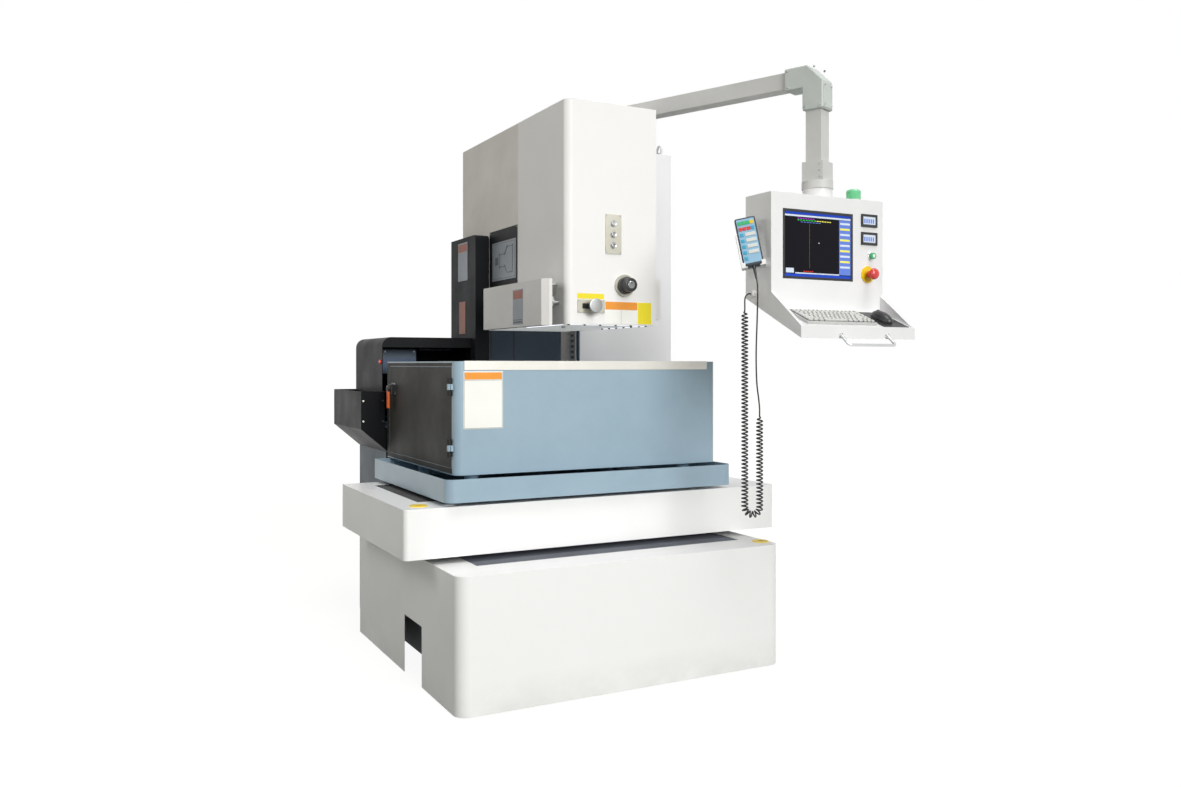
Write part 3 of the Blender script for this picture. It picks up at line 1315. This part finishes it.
@dataclass
class TankTrim:
    """Small pieces of the work tank: side skin, seal, latch, strip and card."""

    x: float = 97.0
    front: float = 289.5
    low: float = 722.0
    top: float = 1110.0
    latch_at: Point = (68.7, 997.5, 1001.4)

    def build(self) -> None:
        """Builds every small piece of the tank."""
        p = Piece("tank_side_skin")
        x = self.x - 0.8
        for low, size in (
            ((x, 321, self.low + 4), (1.0, 764, 18)), ((x, 321, 1093), (1.0, 764, 12)),
            ((x, 1054.5, self.low + 22), (1.0, 30.5, 349)),
        ):
            p.box(low, size, CHARCOAL, 0.2)
        for low, size in (
            ((x - 0.5, 326, 743.6), (1.2, 728, 1.6)), ((x - 0.5, 326, 1091), (1.2, 728, 1.6)),
            ((x - 0.5, 1052.6, 743.6), (1.2, 1.6, 349)),
        ):
            p.box(low, size, DARK_GREY, 0.3)
        p.done("table", slot="charcoal_paint")
        self.strip()
        self.latch()
        c = Piece("tank_card")
        c.box((127, self.front - 0.9, 879), (144, 1.0, 197), CARD_WHITE, 0.3)
        c.box((131, self.front - 1.2, 1048), (136, 0.6, 24), CARD_ORANGE, 0.2)
        for low, size in (
            ((129, self.front - 1.3, 881), (140, 0.5, 1)), ((129, self.front - 1.3, 1045), (140, 0.5, 1)),
            ((129, self.front - 1.3, 881), (1, 0.5, 192)), ((268, self.front - 1.3, 881), (1, 0.5, 192)),
        ):
            c.box(low, size, DARK_GREY, 0)
        c.done("table", slot="blue_paint")

    def strip(self) -> None:
        """Builds the folded bright strip over the front wall's top."""
        p = Piece("tank_strip")
        wall, t, z0 = 4.0, 1.5, self.top - 30
        outline = [
            (-t, z0), (0, z0), (0, self.top), (wall, self.top), (wall, z0), (wall + t, z0),
            (wall + t, self.top + t), (-t, self.top + t),
        ]
        at = Matrix.Translation((130, self.front, 0)) @ OUTLINE_TO_YZ
        p.prism(outline, at, 990, STRIP_STEEL, 0.35)
        p.done("table", ("tank_trim_strip",), "stainless")

    def latch(self) -> None:
        """Builds the latch: an orange lever with a black hub, and the black block on the door."""
        x, y, z = self.latch_at
        p = Piece("latch_lever")
        p.turned([(0, -10), (14, -10), (15, -9), (15, -0.6), (0, -0.6)], (x, y, z), LEFT, BLACK_PLASTIC, 32)
        p.box((x, y - 11, z - 78), (10, 22, 78), ORANGE, 4.0, 4)
        for k in range(3):
            p.box((x - 0.8, y - 8, z - 70 + 8 * k), (1.6, 16, 3), ORANGE, 0.7)
        p.turned([(0, 0), (8, 0), (8, 1.2), (6.8, 2.2), (0, 2.2)], (x, y, z), LEFT, DARK_STEEL, 28)
        p.done("tank_latch", ("tank_latch",), "orange_plastic")
        b = Piece("latch_block")
        b.box((78.9, y - 18, z - 18), (18.4, 36, 36), BLACK_PLASTIC, 2.2, 3)
        b.box((94.6, y - 26, z - 24), (2.6, 52, 48), BLACK_PLASTIC, 1.0)
        for dy in (-21.5, 21.5):
            for dz in (-19, 19):
                b.screw((94.6, y + dy, z + dz), LEFT, 2.4)
        b.done("tank_door", slot="black_plastic")


@dataclass
class MachineTrim:
    """Small pieces of the column, drum hood, hopper, base, saddle, cabinet and arm."""

    cabinet_side: float = 1503.0
    cabinet_front: float = 1149.3
    cabinet_rear: float = 1599.3
    panel_skin: float = 1.2
    fan_z: float = 1700.0
    lock: Point = (1060, 1615.6, 1232)
    arm_pivot: tuple[float, float] = (850.07, 899.49)
    arm_drop: tuple[float, float] = (1290, -152.2)

    def build(self) -> None:
        """Builds them all."""
        self.column()
        self.drum()
        self.plugs()
        self.cabinet()
        self.arm()

    def column(self) -> None:
        """Builds the seams of the column's front and the pierced wiring duct beside it."""
        p = Piece("column_front")
        for x in (575.7, 685.4):
            p.box((x - 1.5, 1151.2, 302), (3, 1.0, 944), BLACK_PLASTIC, 0.2)
        for x0, x1 in ((579, 682), (689, 915)):
            p.box((x0, 1150.4, 306), (x1 - x0, 1.8, 936), SLATE_PAINT, 0.6)
        p.done("machine", slot="slate_paint")
        d = Piece("wiring_duct")
        d.box((1000, 1172, 640), (11.8, 60, 1456), DUCT_GREY, 1.2)
        for k in range(58):
            d.box((999.2, 1186, 652 + 25 * k), (1.4, 32, 11), DARK_GREY, 0.3, 1)
        d.box((1004, 1150.5, 640), (7.8, 14, 1456), PLATE_NAVY, 1.0)
        d.done("machine", slot="cabinet_white")

    def drum(self) -> None:
        """Builds the box, the knob and the lamp in the drum hood and the hopper's screws."""
        p = Piece("hood_fittings")
        p.box((118, 1240, 1060), (150, 90, 106), SLATE_PAINT, 3.0, 3)
        p.box((124, 1238.8, 1066), (138, 1.6, 60), PLATE_NAVY, 0.6)
        for x in (130, 256):
            p.screw((x, 1238.8, 1154), FRONT, 4.0)
        p.turned([(0, 10), (7, 10), (9, 8), (9, 3), (6, 2), (6, 0), (0, 0)], (96, 1172, 1110), LEFT, RED, 28)
        p.box((300, 1300, 1160), (150, 60, 8), SLATE_PAINT, 1.5)
        for z in (867, 950):
            p.screw((3, 1110, z), FRONT, 4.2, CARD_WHITE)
            p.screw((84, 1110, z), FRONT, 4.2, DARK_STEEL)
        p.done("machine", slot="slate_paint")

    def plugs(self) -> None:
        """Builds the yellow plug on the saddle's top and the one on the base's top."""
        for name, body, foot in (
            ("saddle_plugs", "saddle", (-29.4, 297.3, 628.0)),
            ("base_plugs", "machine", (1217, 80, 442.0)),
        ):
            p = Piece(name)
            p.turned([(12, 3.2), (28, 3.2), (31, 1.6), (31.6, 0), (12, 0), (12, 3.2)], foot, UP, YELLOW, 40)
            p.turned([(0, 1.2), (12.2, 1.2), (12.2, 0), (0, 0)], foot, UP, BLACK_PLASTIC, 6)
            p.done(body, slot="white_paint")

    def cabinet(self) -> None:
        """Builds the side panel, louvres, fan grille and lock of the cabinet."""
        p = Piece("cabinet_trim")
        x1, y0, y1 = self.cabinet_side, self.cabinet_front, self.cabinet_rear
        skin = self.panel_skin
        fan_y, fan_z = (y0 + y1) / 2, self.fan_z
        fan = (x1 + skin, fan_y, fan_z)
        p.box((x1, y0 + 40, 60), (skin, y1 - y0 - 80, 1980), CABINET_WHITE, 0.5)
        for k in range(14):
            z = 240 + 26 * k
            p.prism(
                [(0, 0), (7, -5), (7, -7), (0, -16)],
                Matrix.Translation((x1 + skin, y0 + 90, z)) @ SWAP_YZ,
                y1 - y0 - 180, CABINET_WHITE, 0.3,
            )
        for dz in (110, 1990):
            for dy in (60, 390):
                p.screw((x1 + skin, y0 + dy, dz), RIGHT, 5.0)
        p.turned([(60, 0), (66, 0), (66, 2.4), (63, 3.4), (60, 2.4), (60, 0)], fan, RIGHT, DARK_STEEL, 48)
        for r in (12, 28, 44):
            p.turned([(r, 0.6), (r + 2, 0.6), (r + 2, 2.6), (r, 2.6), (r, 0.6)], fan, RIGHT, DARK_STEEL, 40)
        for k in range(8):
            a = math.pi * k / 4
            c, s = math.cos(a), math.sin(a)
            ends = [(x1 + 2.6, fan_y + r * c, fan_z + r * s) for r in (12, 62)]
            p.pipe(ends, 1.1, DARK_STEEL, 8)
        p.turned([(0, 0), (59, 0), (59, 0.5), (0, 0.5)], fan, RIGHT, BLACK_PLASTIC, 48)
        p.done("machine", slot="cabinet_white")
        door = Piece("cabinet_lock")
        door.turned([(0, 4), (9, 4), (11, 2.6), (11, 0), (0, 0)], self.lock, (0, 1, 0), DARK_STEEL, 32)
        door.box((1058.8, 1619, 1227), (2.4, 0.9, 10), BLACK_PLASTIC, 0.2)
        door.done("cabinet_door", slot="cabinet_white")

    def arm(self) -> None:
        """Builds the elbow's end plates and the screws of the elbow and the socket."""
        yaw = math.atan2(self.arm_drop[1] - self.arm_pivot[1], self.arm_drop[0] - self.arm_pivot[0])
        at = Matrix.Translation((*self.arm_drop, 0)) @ Matrix.Rotation(yaw, 4, "Z")
        p = Piece("arm_plates", at)
        p.box((39.4, -34, 2002), (2.2, 68, 88), ELBOW_GREY, 1.0)
        for y in (-26, 26):
            for z in (2012, 2080):
                p.screw((41.6, y, z), RIGHT, 4.0)
        for side in (-1, 1):
            for x, z in ((-96, 2146), (-96, 2088), (8, 2146), (28, 2010), (-28, 2010)):
                p.screw((x, side * 40, z), (0, side, 0), 4.2)
            for z in (1758, 1780, 1802):
                p.screw((28, side * 40, z), (0, side, 0), 3.2)
        p.done("swing_arm", slot="arm_grey")


@dataclass
class Studio:
    """Camera, lamps, background and floor."""

    eye: Point = (-1.7837, -3.5099, 1.1)
    yaw: float = -27.79
    lens: float = 30.4
    shift_y: float = -0.0248
    ambient: float = 0.07
    front_strength: float = 2.3
    top_strength: float = 1.3
    fill_power: float = 18.0
    near_power: float = 6.0
    floor_tint: Point = (0.14, 0.145, 0.11)
    floor_glow: float = 0.93
    floor_half: float = 40.0
    sensor: float = 36.0
    front_way: Point = (-0.04, 0.93, -0.32)
    top_way: Point = (-0.05, 0.35, -0.93)
    sun_spread: float = 30.0
    fill_at: Point = (-2.6, 0.2, 2.35)
    fill_to: Point = (0.0, 0.1, 2.4)
    fill_size: float = 1.4
    fill_tint: Point = (1.0, 0.98, 0.94)
    near_at: Point = (-1.1, -1.9, 1.7)
    near_to: Point = (0.4, -0.75, 1.45)
    near_size: float = 0.8
    near_tint: Point = (1.0, 0.99, 0.96)

    def camera(self) -> None:
        """Makes the camera at the photograph's viewpoint."""
        data = bpy.data.cameras.new("camera")
        data.lens = self.lens
        data.sensor_width = self.sensor
        data.sensor_fit = "HORIZONTAL"
        data.shift_y = self.shift_y
        data.clip_start = 0.05
        made = bpy.data.objects.new("camera", data)
        made.location = self.eye
        made.rotation_euler = (math.radians(90), 0, math.radians(self.yaw))
        bpy.context.scene.collection.objects.link(made)
        bpy.context.scene.camera = made

    def lamp(self, name: str, at: Point, to: Point, size: float, power: float, tint: Point) -> None:
        """Makes one soft square lamp.

        Args:
            name: Name of the lamp.
            at: Its place.
            to: Point that it faces.
            size: Its side.
            power: Its power in watts.
            tint: Its colour.
        """
        data = bpy.data.lights.new(name, "AREA")
        data.size = size
        data.energy = power
        data.color = tint
        made = bpy.data.objects.new(name, data)
        made.location = at
        made.rotation_euler = (Vector(to) - Vector(at)).to_track_quat("-Z", "Y").to_euler()
        made.visible_camera = False
        bpy.context.scene.collection.objects.link(made)

    def seen(self, tree: bpy.types.NodeTree) -> bpy.types.NodeSocket:
        """Adds the mask of the rays that see the background.

        Args:
            tree: Node tree to add it to.

        Returns:
            Socket that is 1 for camera, glossy and transmission rays.
        """
        rays = tree.nodes.new("ShaderNodeLightPath")
        mask = rays.outputs["Is Camera Ray"]
        for other in ("Is Glossy Ray", "Is Transmission Ray"):
            most = tree.nodes.new("ShaderNodeMath")
            most.operation = "MAXIMUM"
            tree.links.new(mask, most.inputs[0])
            tree.links.new(rays.outputs[other], most.inputs[1])
            mask = most.outputs[0]
        return mask

    def background(self) -> None:
        """Makes the world: white where it is seen, and a soft light elsewhere."""
        world = bpy.data.worlds.new("studio")
        bpy.context.scene.world = world
        world.use_nodes = True
        tree = world.node_tree
        shade = tree.nodes["Background"]
        shade.inputs["Color"].default_value = (1, 1, 1, 1)
        level = tree.nodes.new("ShaderNodeMix")
        level.data_type = "FLOAT"
        level.inputs[2].default_value = self.ambient
        level.inputs[3].default_value = 1.0
        tree.links.new(self.seen(tree), level.inputs[0])
        tree.links.new(level.outputs[0], shade.inputs["Strength"])

    def floor(self) -> None:
        """Makes the pale floor, which keeps the object's shadow."""
        shape = bmesh.new()
        bmesh.ops.create_grid(shape, x_segments=1, y_segments=1, size=self.floor_half)
        made = placed("floor", shape)
        paint = bpy.data.materials.new("floor")
        paint.use_nodes = True
        tree = paint.node_tree
        shader = tree.nodes["Principled BSDF"]
        shader.inputs["Base Color"].default_value = (*self.floor_tint, 1)
        shader.inputs["Roughness"].default_value = 0.9
        shader.inputs["Specular IOR Level"].default_value = 0.0
        shader.inputs["Emission Color"].default_value = (1, 1, 1, 1)
        glow = tree.nodes.new("ShaderNodeMath")
        glow.operation = "MULTIPLY"
        glow.inputs[1].default_value = self.floor_glow
        tree.links.new(self.seen(tree), glow.inputs[0])
        tree.links.new(glow.outputs[0], shader.inputs["Emission Strength"])
        made.data.materials.append(paint)

    def sun(self, name: str, strength: float, toward: Point, spread: float) -> None:
        """Makes one broad far light.

        Args:
            name: Name of the light.
            strength: Its strength.
            toward: Direction that its light travels in.
            spread: Its angular width in degrees.
        """
        data = bpy.data.lights.new(name, "SUN")
        data.energy = strength
        data.angle = math.radians(spread)
        made = bpy.data.objects.new(name, data)
        made.rotation_euler = Vector(toward).to_track_quat("-Z", "Y").to_euler()
        bpy.context.scene.collection.objects.link(made)

    def build(self) -> None:
        """Makes the lamps, the background and the floor."""
        bpy.context.scene.view_settings.view_transform = "Standard"
        self.sun("front", self.front_strength, self.front_way, self.sun_spread)
        self.sun("top", self.top_strength, self.top_way, self.sun_spread)
        self.lamp("left", self.fill_at, self.fill_to, self.fill_size, self.fill_power, self.fill_tint)
        self.lamp("near", self.near_at, self.near_to, self.near_size, self.near_power, self.near_tint)
        self.background()
        self.floor()


def main() -> None:
    """Builds the scene in order and keeps the two boxes."""
    logging.basicConfig(level=logging.INFO, format="%(message)s")
    studio = Studio()
    studio.camera()
    CurlyCord().build()
    SheetCovers().build()
    PlainNodes().build()
    Bellows().build()
    Pendant().build()
    Handset().build()
    HeadTrim().build()
    TankTrim().build()
    MachineTrim().build()
    studio.build()


if __name__ == "__main__":
    main()
